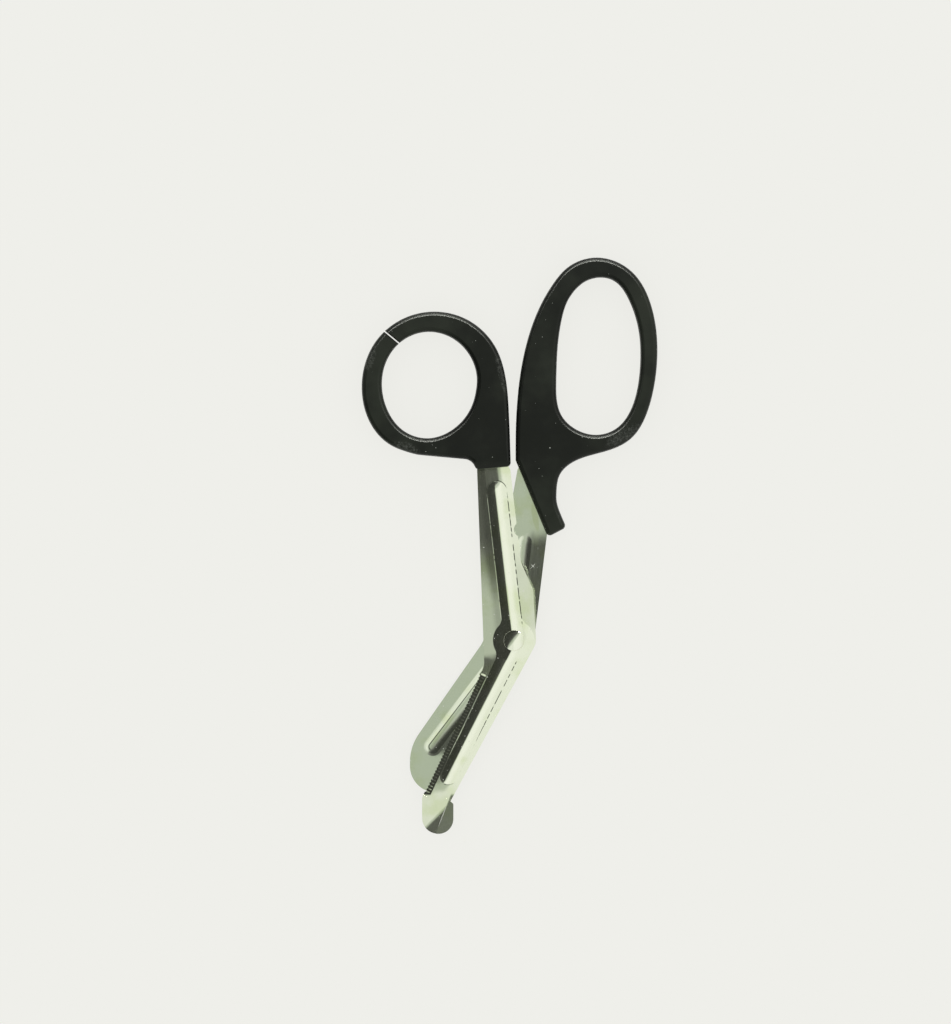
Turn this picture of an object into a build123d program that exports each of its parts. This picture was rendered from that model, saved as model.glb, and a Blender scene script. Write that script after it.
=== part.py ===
from build123d import *
import math
import os

# Bandage scissors with angled blades, in millimetres.
# The origin is on the pivot axis, at the surface that the closed scissors lie on.
# +Z points up through the rivet head, +Y points to the handles and +X to the finger loop.
# The front half lies on top: it has the serrated edge, the blunt foot and the thumb ring.

# Sheet steel and its fits
sheet_thickness = 1.5
blade_gap = 0.1
rib_height = 1.25
rib_flank_angle = 46.0
rib_round = 3.2
boss_radius = 6.8
boss_blend_radius = 5.0
bevel_width = 1.9
edge_land = 0.2
overrun = 1.0

# Front half: distances are from the pivot axis, angles are from the Y axis
collar_reach = 56.5
front_outer_side = 9.75
front_inner_side = 7.4
front_heel_drop = 8.8
front_spine_heel_drop = 0.925
front_edge_drop = 51.2
front_edge_angle = 25.2
front_spine_drop = 53.2
front_spine_angle = 28.5
front_heel_radius = 8.0
front_spine_radius = 5.0
front_entry_shares = (1.25, 0.12)
front_waist_radius = 8.0
front_shoulder_radius = 1.5
front_shoulder_point = (6.4, 16.8)
front_waist_point = (2.35, 25.8)
front_shank_rib_width = 6.3
front_shank_rib_end = (-5.7, 49.5)
front_blade_rib_width = 5.7
front_blade_rib_end = (-21.0, -44.6)
notch_radius = 2.5
notch_center = (2.5, 36.75)

# Serrations ground across the bevel of the front edge
tooth_pitch = 1.1
tooth_depth = 0.45
tooth_run_angle = 48.0
tooth_start_drop = 11.4

# Foot of the front half, with its side bent up along the line of the spine
foot_width = 10.35
foot_drop = 63.9
foot_side_share = 0.063
foot_corner_radius = 5.1
foot_side_radius = 3.0
foot_shoulder_radius = 0.8
foot_bend_angle = 44.0
foot_bend_radius = 4.5
foot_fold_inset = 1.2

# Back half: the wider, round-ended blade and the shank of the finger handle
back_outer_side = 9.8
back_inner_side = 6.7
back_heel_point = (1.5, -8.5)
back_heel_radius = 3.0
back_spine_angle = 35.0
back_tip_side = 34.4
back_tip_drop = 50.4
back_tip_radius = 8.8
back_belly_radius = 16.0
back_tip_point_x = -23.9
back_waist_radius = 8.0
back_waist_point = (-4.5, 25.4)
back_shoulder_point = (-8.8, 14.7)
back_shank_rib_width = 5.7
back_shank_rib_end = (3.7, 32.6)
back_blade_rib_width = 5.9
back_blade_rib_end = (-26.9, -35.2)
back_entry_left_x = 1.2
back_entry_right_x = 11.9
back_beak_point = (11.1, 36.15)

# Tangs that run into the moulded handles
tang_reach = 79.0
tang_width = 6.0
tang_left = -10.4
tang_right = 4.4
tang_hole_radius = 1.4
tang_corner_radius = 0.8

# Moulded handles
handle_thickness = 8.6
handle_round = 1.2
thumb_width = 50.3
thumb_height = 52.25
thumb_ring_wall = 6.6
thumb_web = 12.3
thumb_heel = 10.4
thumb_neck_radius = 4.0
thumb_collar_radius = 1.5
collar_slope_length = 2.6
collar_slope_drop = 1.5
crack_width = 0.4
crack_angle = 140.5
crack_shift = 4.3
finger_width = 47.5
finger_height = 70.2
finger_ring_wall = 5.7
finger_top_wall = 6.65
finger_web = 14.05
finger_heel = 11.55
finger_corner_radius = 1.5

# Rivet and its washer
rivet_diameter = 4.0
rivet_fit = 0.05
rivet_head_diameter = 6.8
rivet_head_height = 1.9
rivet_head_rim = 0.25
rivet_tail_diameter = 6.2
rivet_tail_round = 0.3
washer_diameter = 9.0
washer_thickness = 0.6

# Heights that follow from the sizes above
mating_height = handle_thickness / 2
front_base = mating_height + blade_gap / 2
back_base = mating_height - blade_gap / 2
front_boss_top = front_base + sheet_thickness + rib_height
back_boss_low = back_base - sheet_thickness - rib_height
washer_top = back_boss_low - rivet_fit
tail_top = washer_top - washer_thickness
bore_radius = rivet_diameter / 2 + rivet_fit

# Holes that follow from the walls round them
thumb_hole_width = thumb_width - thumb_ring_wall - thumb_web
thumb_hole_height = thumb_height - thumb_ring_wall - thumb_heel
thumb_hole_center = (
    -thumb_web - thumb_hole_width / 2, collar_reach + thumb_heel + thumb_hole_height / 2
)
finger_hole_width = finger_width - finger_ring_wall - finger_web
finger_hole_height = finger_height - finger_top_wall - finger_heel
finger_hole_center = (
    finger_web + finger_hole_width / 2, collar_reach + finger_heel + finger_hole_height / 2
)

# Shares of a handle's width and height, from the pivot axis and the collar line
thumb_ring_shares = [
    (-0.027, 0.238), (-0.047, 0.536), (-0.123, 0.78), (-0.312, 0.953), (-0.555, 1.0),
    (-0.746, 0.948), (-0.895, 0.83), (-0.98, 0.669), (-1.0, 0.491), (-0.955, 0.314),
    (-0.882, 0.21), (-0.775, 0.138), (-0.652, 0.099), (-0.53, 0.085),
]
thumb_collar_shares = [(-0.278, 0.063), (-0.247, 0.0), (-0.02, 0.02)]
finger_loop_shares = [
    (0.012, 0.111), (0.022, 0.309), (0.077, 0.564), (0.215, 0.813), (0.276, 0.879),
    (0.368, 0.95), (0.579, 1.0), (0.824, 0.932), (0.962, 0.762), (1.0, 0.564),
    (0.966, 0.356), (0.921, 0.256), (0.817, 0.147), (0.621, 0.083), (0.427, 0.041),
    (0.316, -0.03), (0.297, -0.105), (0.331, -0.217),
]
thumb_leaving_shares = (-0.05, 1.0)
thumb_arriving_shares = (1.0, -0.1)
finger_leaving_shares = (0.0, 1.0)
finger_arriving_shares = (0.4, -0.9)
finger_beak_shares = [(0.366, -0.272), (0.236, -0.318), (0.012, 0.044)]

# Shares of a hole's width and height, from its center
thumb_hole_shares = [
    (0.5, 0.003), (0.449, 0.24), (0.264, 0.428), (-0.01, 0.5), (-0.278, 0.42), (-0.449, 0.23),
    (-0.5, 0.003), (-0.446, -0.223), (-0.283, -0.421), (-0.01, -0.5), (0.257, -0.411),
    (0.433, -0.226),
]
finger_hole_shares = [
    (-0.005, 0.5), (0.225, 0.466), (0.37, 0.354), (0.484, 0.158), (0.5, -0.064),
    (0.455, -0.237), (0.382, -0.349), (0.227, -0.455), (-0.005, -0.5), (-0.246, -0.471),
    (-0.43, -0.384), (-0.5, -0.146), (-0.481, 0.076), (-0.435, 0.236), (-0.371, 0.345),
    (-0.227, 0.448),
]


def lean_point(start, lean, drop):
    """The point that lies lower than the start by drop, on a line that leans to the left."""
    return (start[0] - drop * math.tan(math.radians(lean)), start[1] - drop)


def rounded_face(corners):
    """A flat face from (point, radius) pairs taken in order round the outline."""
    points = [point for point, radius in corners]
    radii = [radius for point, radius in corners]
    return make_face(FilletPolyline(*points, radius=radii, close=True).edges())


def slot_between(start, end, width):
    """A round-ended strip of the given width from one point to another."""
    run = Vector(*end) - Vector(*start)
    middle = (Vector(*end) + Vector(*start)) * 0.5
    turn = math.degrees(math.atan2(run.Y, run.X))
    return Pos(middle.X, middle.Y) * SlotCenterToCenter(run.length, width, rotation=turn)


def tang_corners(left, entry_left, entry_right):
    """The tang's outline above the collar, from its right side round to its left side."""
    right = left + tang_width
    neck = collar_reach + tang_width
    return [
        ((entry_right, collar_reach), 0),
        ((right, neck), tang_corner_radius),
        ((right, tang_reach), tang_corner_radius),
        ((left, tang_reach), tang_corner_radius),
        ((left, neck), tang_corner_radius),
        ((entry_left, collar_reach), 0),
    ]


def tang_holes(left):
    """The two holes that lock a tang in its handle."""
    center_x = left + tang_width / 2
    step = (tang_reach - collar_reach - tang_width) / 3
    low = collar_reach + tang_width + step / 2
    hole = extrude(Circle(tang_hole_radius), sheet_thickness)
    return Pos(center_x, low) * hole + Pos(center_x, low + 2 * step) * hole


def rib_plan(shank_end, shank_width, blade_end, blade_width):
    """The plan of the pressed ribs, which run together in a round boss at the pivot."""
    start = (0, 0)
    plan = Circle(boss_radius)
    plan += slot_between(start, shank_end, shank_width)
    plan += slot_between(start, blade_end, blade_width)
    corners = plan.vertices().filter_by(
        lambda corner: abs(math.hypot(corner.X, corner.Y) - boss_radius) < boss_radius / 100
    )
    return fillet(corners, boss_blend_radius)


def pressed_half(outline, ribs):
    """A half with its mating face at zero: flat sheet, and ribs pressed outwards."""
    inset = sheet_thickness * math.tan(math.radians(rib_flank_angle / 2))
    sheet = extrude(outline, sheet_thickness)
    bump = extrude(ribs, rib_height, taper=rib_flank_angle)
    bump = fillet(bump.faces().sort_by(Axis.Z)[-1].edges(), rib_round)
    pressed = sheet + Pos(0, 0, sheet_thickness) * bump
    pocket = extrude(offset(ribs, -inset), rib_height, taper=rib_flank_angle)
    pocket = fillet(pocket.faces().sort_by(Axis.Z)[-1].edges(), rib_round - sheet_thickness)
    return pressed - pocket - extrude(Circle(bore_radius), sheet_thickness + rib_height)


def edge_plane(start, end, side):
    """A plane across the edge at its start: x runs into the blade and y away from the mating face."""
    along = (Vector(*end) - Vector(*start)).normalized()
    inward = Vector(-along.Y, along.X) * side
    return Plane(origin=(start[0], start[1], 0), x_dir=inward, z_dir=along * side)


def bevel_cutter(start, end, side):
    """The wedge that grinds the outer face of a blade down to its edge."""
    length = (Vector(*end) - Vector(*start)).length
    slope = (sheet_thickness - edge_land) / bevel_width
    high = sheet_thickness + overrun
    profile = Polyline(
        (-overrun, edge_land - overrun * slope),
        (bevel_width + overrun / slope, high),
        (-overrun, high),
        close=True,
    )
    wedge = extrude(make_face(profile), length * side)
    return edge_plane(start, end, side) * wedge


def tooth_cutter(start, end, side):
    """A row of V grooves that cross the bevel and break the edge into teeth."""
    length = (Vector(*end) - Vector(*start)).length
    count = int(length / tooth_pitch)
    along = (Vector(*end) - Vector(*start)).normalized()
    inward = Vector(-along.Y, along.X) * side
    run = math.radians(tooth_run_angle)
    rise = overrun * math.tan(run)
    points = [(0, sheet_thickness + overrun)]
    for tooth in range(count):
        points.append((tooth * tooth_pitch, edge_land - rise))
        points.append(((tooth + 0.5) * tooth_pitch, edge_land - tooth_depth - rise))
    points.append((count * tooth_pitch, edge_land - rise))
    points.append((count * tooth_pitch, sheet_thickness + overrun))
    outside = Vector(*start) - inward * overrun
    plane = Plane(origin=(outside.X, outside.Y, 0), x_dir=along, z_dir=along.cross(Vector(0, 0, 1)))
    grooves = plane * make_face(Polyline(*points, close=True))
    heading = inward * math.cos(run) + Vector(0, 0, 1) * math.sin(run)
    return extrude(grooves, (bevel_width + overrun) / math.cos(run), dir=heading)


def bend_profile(turn):
    """The foot's section across the fold: flat sheet, bend and raised side, top of the sheet at zero."""
    rise = Vector(math.cos(turn), math.sin(turn)) * foot_width
    under = Vector(math.sin(turn), -math.cos(turn)) * sheet_thickness
    outer_corner = (sheet_thickness * math.tan(turn / 2), -sheet_thickness)
    section = make_face(Polyline(
        (0, 0), rise, rise + under, outer_corner,
        (-foot_width, -sheet_thickness), (-foot_width, 0), close=True,
    ))
    section = fillet(section.vertices().sort_by_distance((0, 0))[0], foot_bend_radius)
    outer = section.vertices().sort_by_distance(outer_corner)[0]
    return fillet(outer, foot_bend_radius + sheet_thickness)


def bend_foot(sheet, outline, spine_end):
    """Replaces the flat sheet by the spine's line with a side that is bent up along that line."""
    lean = math.radians(front_spine_angle)
    along = Vector(-math.sin(lean), -math.cos(lean))
    outward = Vector(math.cos(lean), -math.sin(lean))
    turn = math.radians(foot_bend_angle)
    fold_start = Vector(*spine_end) - outward * foot_fold_inset
    fold_length = foot_drop - front_spine_drop + overrun
    plane = Plane(
        origin=(fold_start.X, fold_start.Y, sheet_thickness), x_dir=outward, z_dir=along
    )
    bend_reach = (foot_bend_radius + sheet_thickness) * math.tan(turn / 2)
    low = -sheet_thickness - overrun
    beyond = make_face(Polyline(
        (-bend_reach, overrun), (foot_width, overrun), (foot_width, low), (-bend_reach, low),
        close=True,
    ))
    bent = plane * extrude(bend_profile(turn), fold_length)
    kept = sheet - plane * extrude(beyond, foot_width)
    return kept + (bent & (Pos(0, 0, -sheet_thickness) * extrude(outline, foot_width)))


def front_half():
    """The upper half: serrated blade, foot, shank and the tang of the thumb ring."""
    heel = (-front_outer_side, -front_heel_drop)
    edge_end = lean_point(heel, front_edge_angle, front_edge_drop - front_heel_drop)
    spine_heel = (front_inner_side, -front_spine_heel_drop)
    spine_end = lean_point(spine_heel, front_spine_angle, front_spine_drop + spine_heel[1])
    foot_left = edge_end[0] - foot_side_share * foot_width
    foot_right = foot_left + foot_width
    entry_left = -front_outer_side * front_entry_shares[0]
    entry_right = -front_outer_side * front_entry_shares[1]
    corners = tang_corners(tang_left, entry_left, entry_right) + [
        (heel, front_heel_radius),
        ((foot_left, edge_end[1] - foot_side_share * foot_width), foot_side_radius),
        ((foot_left, -foot_drop), foot_corner_radius),
        ((foot_right, -foot_drop), foot_corner_radius),
        ((foot_right, spine_end[1] - foot_shoulder_radius), foot_shoulder_radius),
        (spine_end, 0),
        (spine_heel, front_spine_radius),
        (front_shoulder_point, front_shoulder_radius),
        (front_waist_point, front_waist_radius),
    ]
    outline = rounded_face(corners)
    outline -= Pos(*notch_center) * Circle(notch_radius)
    ribs = rib_plan(front_shank_rib_end, front_shank_rib_width, front_blade_rib_end, front_blade_rib_width)
    half = pressed_half(outline, ribs)
    half = bend_foot(half, outline, spine_end)
    tooth_start = lean_point(heel, front_edge_angle, tooth_start_drop - front_heel_drop)
    half -= bevel_cutter(tooth_start, edge_end, 1)
    half -= tooth_cutter(tooth_start, edge_end, 1)
    half -= tang_holes(tang_left)
    return Pos(0, 0, front_base) * half


def back_half():
    """The lower half: round-ended blade, shank and the tang of the finger loop."""
    spine_heel = (-back_outer_side, 0)
    belly_drop = (back_tip_side - back_outer_side) / math.tan(math.radians(back_spine_angle))
    tip_point = (back_tip_point_x, -back_tip_drop)
    corners = tang_corners(tang_right, back_entry_left_x, back_entry_right_x) + [
        (back_waist_point, back_waist_radius),
        (back_shoulder_point, back_waist_radius),
        (spine_heel, back_waist_radius),
        ((-back_tip_side, -belly_drop), back_belly_radius),
        ((-back_tip_side, -back_tip_drop), back_tip_radius),
        (tip_point, tang_corner_radius),
        (back_heel_point, back_heel_radius),
        ((back_inner_side, 0), back_heel_radius),
        (back_beak_point, back_waist_radius),
    ]
    outline = rounded_face(corners)
    ribs = rib_plan(back_shank_rib_end, back_shank_rib_width, back_blade_rib_end, back_blade_rib_width)
    half = pressed_half(outline, ribs)
    half -= bevel_cutter(back_heel_point, tip_point, -1)
    half -= tang_holes(tang_right)
    return Pos(0, 0, back_base) * mirror(half, about=Plane.XY)


def shares_to_points(shares, width, height, center):
    """Points from shares of a width and a height about a center."""
    return [(center[0] + across * width, center[1] + up * height) for across, up in shares]


def moulded_handle(outline, hole):
    """A handle as thick as the whole grip, with its hole, and both its faces rounded over."""
    body = extrude(outline - hole, handle_thickness)
    rims = body.faces().sort_by(Axis.Z)
    return fillet(rims[0].edges() + rims[-1].edges(), handle_round)


def spline_hole(shares, width, height, center):
    """A hole as a smooth closed curve through points given as shares of its size."""
    return make_face(Spline(*shares_to_points(shares, width, height, center), periodic=True))


def spline_loop(loop, corners, radii, leaves, arrives):
    """A loop's outline: a smooth curve round the loop, closed by straight runs with rounded corners."""
    rim = Spline(*loop, tangents=[leaves, arrives])
    outline = make_face(Curve() + [rim, Polyline(loop[-1], *corners, loop[0])])
    for corner, radius in zip(corners, radii):
        outline = fillet(outline.vertices().sort_by_distance(corner)[0], radius)
    return outline


def thumb_handle(steel):
    """The thumb ring, moulded on its tang: its collar slopes down to the steel, and it is cracked."""
    base = (0, collar_reach)
    ring = shares_to_points(thumb_ring_shares, thumb_width, thumb_height, base)
    collar = shares_to_points(thumb_collar_shares, thumb_width, thumb_height, base)
    radii = (thumb_neck_radius, thumb_collar_radius, thumb_collar_radius)
    outline = spline_loop(ring, collar, radii, thumb_leaving_shares, thumb_arriving_shares)
    hole = spline_hole(thumb_hole_shares, thumb_hole_width, thumb_hole_height, thumb_hole_center)
    body = moulded_handle(outline, hole)
    slope = make_face(Polyline(
        (collar_reach - overrun, handle_thickness - collar_slope_drop),
        (collar_reach, handle_thickness - collar_slope_drop),
        (collar_reach + collar_slope_length, handle_thickness),
        (collar_reach + collar_slope_length, handle_thickness + overrun),
        (collar_reach - overrun, handle_thickness + overrun), close=True,
    ))
    body -= extrude(Plane.YZ * slope, -thumb_width / 2)
    crack = Pos(thumb_width / 2, -crack_shift) * Box(thumb_width, crack_width, handle_thickness * 2)
    body -= Pos(*thumb_hole_center) * Rot(0, 0, crack_angle) * crack
    return body - steel


def finger_handle(steel):
    """The finger loop, moulded on its tang: an egg-shaped loop with a beak down the shank."""
    base = (0, collar_reach)
    loop = shares_to_points(finger_loop_shares, finger_width, finger_height, base)
    beak = shares_to_points(finger_beak_shares, finger_width, finger_height, base)
    radii = (finger_corner_radius, finger_corner_radius, finger_corner_radius)
    outline = spline_loop(loop, beak, radii, finger_leaving_shares, finger_arriving_shares)
    hole = spline_hole(
        finger_hole_shares, finger_hole_width, finger_hole_height, finger_hole_center
    )
    return moulded_handle(outline, hole) - steel


def pivot_rivet():
    """The rivet, turned as one profile: domed head, shank and flat closed tail."""
    head = rivet_head_diameter / 2
    rim_top = front_boss_top + rivet_head_rim
    crown = front_boss_top + rivet_head_height
    shank = rivet_diameter / 2
    tail = rivet_tail_diameter / 2
    side = Polyline(
        (0, crown), (0, 0), (tail - rivet_tail_round, 0), (tail, rivet_tail_round),
        (tail, tail_top), (shank, tail_top), (shank, front_boss_top), (head, front_boss_top),
        (head, rim_top),
    )
    dome_rise = crown - rim_top
    dome_radius = (head ** 2 + dome_rise ** 2) / (2 * dome_rise)
    dome = RadiusArc((head, rim_top), (0, crown), -dome_radius)
    return revolve(Plane.XZ * make_face(Curve() + [side, dome]), Axis.Z)


def rivet_washer():
    """The flat washer between the rivet's tail and the lower half."""
    ring = Circle(washer_diameter / 2) - Circle(bore_radius)
    return Pos(0, 0, tail_top) * extrude(ring, washer_thickness)


def build():
    """Every piece of the scissors by its name."""
    front = front_half()
    back = back_half()
    return {
        "front_blade": front,
        "back_blade": back,
        "thumb_handle": thumb_handle(front),
        "finger_handle": finger_handle(back),
        "pivot_rivet": pivot_rivet(),
        "rivet_washer": rivet_washer(),
    }


os.makedirs("parts", exist_ok=True)
for name, piece in build().items():
    export_step(piece, f"parts/{name}.step")
    print(name, round(piece.volume, 1))
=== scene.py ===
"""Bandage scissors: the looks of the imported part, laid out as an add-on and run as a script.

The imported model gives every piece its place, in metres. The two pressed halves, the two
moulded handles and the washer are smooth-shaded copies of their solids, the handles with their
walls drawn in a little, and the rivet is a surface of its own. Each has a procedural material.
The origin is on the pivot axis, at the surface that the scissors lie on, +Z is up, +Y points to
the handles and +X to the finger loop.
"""

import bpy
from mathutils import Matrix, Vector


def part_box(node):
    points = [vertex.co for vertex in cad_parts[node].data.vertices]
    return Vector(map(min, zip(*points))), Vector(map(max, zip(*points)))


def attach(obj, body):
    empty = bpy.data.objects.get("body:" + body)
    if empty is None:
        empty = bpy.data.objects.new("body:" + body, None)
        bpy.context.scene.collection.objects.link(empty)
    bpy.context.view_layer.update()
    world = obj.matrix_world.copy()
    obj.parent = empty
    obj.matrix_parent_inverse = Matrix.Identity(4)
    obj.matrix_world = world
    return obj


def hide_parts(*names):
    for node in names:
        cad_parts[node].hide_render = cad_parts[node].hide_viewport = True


bl_info = {
    "name": "Bandage scissors",
    "version": (1, 0, 0),
    "blender": (4, 5, 0),
    "location": "View3D > Sidebar > Scissors",
    "description": "Builds the pieces, finishes and stage of a pair of bandage scissors",
    "category": "Object",
}

import math

import bmesh
import bpy
import numpy as np
from bpy.props import FloatProperty, FloatVectorProperty, PointerProperty
from mathutils import Vector

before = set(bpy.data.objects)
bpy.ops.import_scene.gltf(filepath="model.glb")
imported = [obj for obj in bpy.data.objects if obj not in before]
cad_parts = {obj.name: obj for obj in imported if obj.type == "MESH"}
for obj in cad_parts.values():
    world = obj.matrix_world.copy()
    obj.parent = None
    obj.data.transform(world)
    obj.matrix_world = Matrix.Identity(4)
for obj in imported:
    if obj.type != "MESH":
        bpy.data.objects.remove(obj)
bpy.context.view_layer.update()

MM = 0.001
TO_MM = 1000.0
RIVET_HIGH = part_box("pivot_rivet")[1]

# The photograph's frame: its middle in the part's frame, the height that its rows span, and the
# longer side of the camera's sensor in millimetres
VIEW_CENTER = (-12.7 * MM, 42.5 * MM, 5.0 * MM)
VIEW_HEIGHT = 338.9 * MM
SENSOR = 36.0

# The serrated edge: the way it runs, its distance from the pivot axis, its teeth's pitch, and
# where its ground side ends, in mm
EDGE_RUN = (-0.426, -0.905)
EDGE_SIDE = -5.07
TOOTH_PITCH = 1.1
BEVEL_FADE = (EDGE_SIDE + 1.3, EDGE_SIDE + 1.8)

# Places along Y, in mm: where the leans' ramps start, at the foot, and end, at the collar, the
# line where the foot begins, and the top of the teeth
LEAN_ENDS = (-65, 60)
FOOT_LINE = -51
TEETH_TOP = -11

# The front half: the boss's radius in mm, and the directions across the foot's fold and its toe
BOSS_RADIUS = 6.6
FOLD_ACROSS = (0.93, -0.367)
TOE_ACROSS = (0.707, -0.707)

# How far the sheet leans: the whole range of a ramp of leans, and what parts of it add. Less than
# 0 is towards -X
LEAN_RANGE = 0.5
MOTTLE = 0.02
BOSS_LEAN = -0.25
INNER_LEAN = -0.045
FOLD_LEAN = -0.18
TOE_LEAN = -0.2
TOOTH_LEAN = 0.2
TOOTH_REST = 0.12

# What leaned normals gain in height, the farthest that they turn to -X, and the share of a
# sheet's press that counts along Y
LIFT = 0.12
FARTHEST_WEST = -0.5
PRESS_ALONG = 0.2

# Patterns, as repeats to a metre: waves of the sheet 9 mm long, breaks in fine lines 1.4 mm,
# grain of the plastic 0.4 mm, scuffs 0.9 mm and worn areas 33 mm
WAVES = 110.0
DASHES = 700.0
PLASTIC_GRAIN = 2500.0
SCUFFS = 1100.0
WORN_AREAS = 30.0
WAVE_DRIFT = 3 * MM
SPECK_CONTRAST = 3

# Colours: the steel's greener patches, an olive reflection painted on it, a highlight painted along
# the ribs' crest, its marks and a highlight painted as a line, and the plastic's worn areas and
# dust
GREENER = "#DAE0C4"
OLIVE_REFLECTION = "#C4CA98"
CREST_HIGHLIGHT = "#F4F4EA"
MARKS_AND_HIGHLIGHT = "#D6D9CE"
WORN = "#1A1F16"
DUSTY = "#9DA199"

# Shading: the angles past which an edge stays sharp on the sheet and on the rest, and how far
# the normals of one flat field may differ
SHEET_SHARP = math.radians(32)
ROUND_SHARP = math.radians(40)
SAME_PLANE = 0.002

# The mouldings' draft, and the share of half their height that stays upright
DRAFT = 0.3 * MM
UPRIGHT = 0.4


def linear(code):
    """An sRGB hex colour as linear red, green, blue and a full alpha."""
    parts = [int(code[i:i + 2], 16) / 255 for i in (1, 3, 5)]
    light = [c / 12.92 if c <= 0.04045 else ((c + 0.055) / 1.055) ** 2.4 for c in parts]
    return tuple(light) + (1.0,)


def add_node(tree, kind, props=None, values=None, links=None):
    """Adds a node, sets its properties and input values, and links outputs to its inputs."""
    made = tree.nodes.new(kind)
    for name, value in (props or {}).items():
        setattr(made, name, value)
    for name, value in (values or {}).items():
        made.inputs[name].default_value = value
    for name, source in (links or {}).items():
        tree.links.new(source, made.inputs[name])
    return made


def new_material(name):
    """A new material and its node tree, with no nodes in it yet."""
    material = bpy.data.materials.new(name)
    material.use_nodes = True
    tree = material.node_tree
    tree.nodes.clear()
    return material, tree


def stops(tree, source, points):
    """The colour that a ramp of (position, grey or colour) points gives for a value from 0 to 1."""
    ramp = add_node(tree, "ShaderNodeValToRGB", links={"Fac": source})
    elements = ramp.color_ramp.elements
    for point in points[1:-1]:
        elements.new(point[0])
    for element, (position, tone) in zip(elements, points):
        element.position = position
        element.color = (tone, tone, tone, 1.0) if isinstance(tone, float) else tone
    return ramp.outputs["Color"]


def smooth_step(tree, source, low, high, to_low=0.0, to_high=1.0):
    """A value that runs from to_low to to_high as the source runs from low to high."""
    return add_node(
        tree, "ShaderNodeMapRange", {"interpolation_type": "SMOOTHSTEP"},
        {"From Min": low, "From Max": high, "To Min": to_low, "To Max": to_high},
        {"Value": source},
    ).outputs[0]


def rib_share(tree, coordinates, start, end, width):
    """How far across a rib a point lies: -1 at its left foot, 0 on its middle, 1 at its right foot.

    The rib runs from start to end, in millimetres. With x across and y along, the first share is
    x / (width / 2). The second is sign(x) sqrt(x^2 + max(y - length, 0)^2) / (width / 2), so that
    past end the rib's foot turns round it.
    """
    length = math.dist(start, end)
    turn = math.atan2(end[0] - start[0], end[1] - start[1])
    if end[1] < start[1]:
        turn += math.pi
    moved = add_node(
        tree, "ShaderNodeVectorMath", {"operation": "SUBTRACT"},
        {1: (start[0] * MM, start[1] * MM, 0.0)}, {0: coordinates},
    )
    turned = add_node(
        tree, "ShaderNodeMapping", {"vector_type": "POINT"},
        {"Rotation": (0.0, 0.0, turn), "Scale": (TO_MM, TO_MM, TO_MM)},
        {"Vector": moved.outputs[0]},
    )
    place = add_node(tree, "ShaderNodeSeparateXYZ", links={0: turned.outputs[0]})
    along = add_node(
        tree, "ShaderNodeMath", {"operation": "ABSOLUTE"}, links={0: place.outputs["Y"]}
    )
    past = add_node(
        tree, "ShaderNodeMath", {"operation": "SUBTRACT"}, {1: length}, {0: along.outputs[0]}
    )
    past = add_node(
        tree, "ShaderNodeMath", {"operation": "MAXIMUM"}, {1: 0.0}, {0: past.outputs[0]}
    )
    offset = add_node(
        tree, "ShaderNodeCombineXYZ", links={"X": place.outputs["X"], "Y": past.outputs[0]}
    )
    away = add_node(
        tree, "ShaderNodeVectorMath", {"operation": "LENGTH"}, links={0: offset.outputs[0]}
    )
    side = add_node(
        tree, "ShaderNodeMath", {"operation": "SIGN"}, links={0: place.outputs["X"]}
    )
    signed = add_node(
        tree, "ShaderNodeMath", {"operation": "MULTIPLY"},
        links={0: away.outputs["Value"], 1: side.outputs[0]},
    )
    return [
        add_node(
            tree, "ShaderNodeMath", {"operation": "MULTIPLY"}, {1: 2 / width}, {0: value}
        ).outputs[0]
        for value in (place.outputs["X"], signed.outputs[0])
    ]


def specks(tree, coordinates, pitch, radius, kept, seed):
    """A mask of small round specks, at most one a cell, in a kept share of the cells.

    pitch, the cells' size, and radius, the largest speck's, are in millimetres. seed shifts them.
    """
    moved = add_node(
        tree, "ShaderNodeMapping", values={"Location": (seed, seed * 0.7, seed * 1.3)},
        links={"Vector": coordinates},
    )
    cells = add_node(
        tree, "ShaderNodeTexVoronoi", {"voronoi_dimensions": "3D", "feature": "F1"},
        {"Scale": 1 / (pitch * MM)}, {"Vector": moved.outputs[0]},
    )
    pick = add_node(tree, "ShaderNodeSeparateColor", links={"Color": cells.outputs["Color"]})
    size = add_node(
        tree, "ShaderNodeMapRange",
        values={"From Min": 1 - kept, "From Max": 1.0, "To Min": 0.0, "To Max": radius / pitch},
        links={"Value": pick.outputs["Red"]},
    )
    inside = add_node(
        tree, "ShaderNodeMath", {"operation": "SUBTRACT"},
        links={0: size.outputs[0], 1: cells.outputs["Distance"]},
    )
    return add_node(
        tree, "ShaderNodeMath", {"operation": "MULTIPLY", "use_clamp": True},
        {1: pitch / radius * SPECK_CONTRAST}, {0: inside.outputs[0]},
    ).outputs[0]


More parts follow.
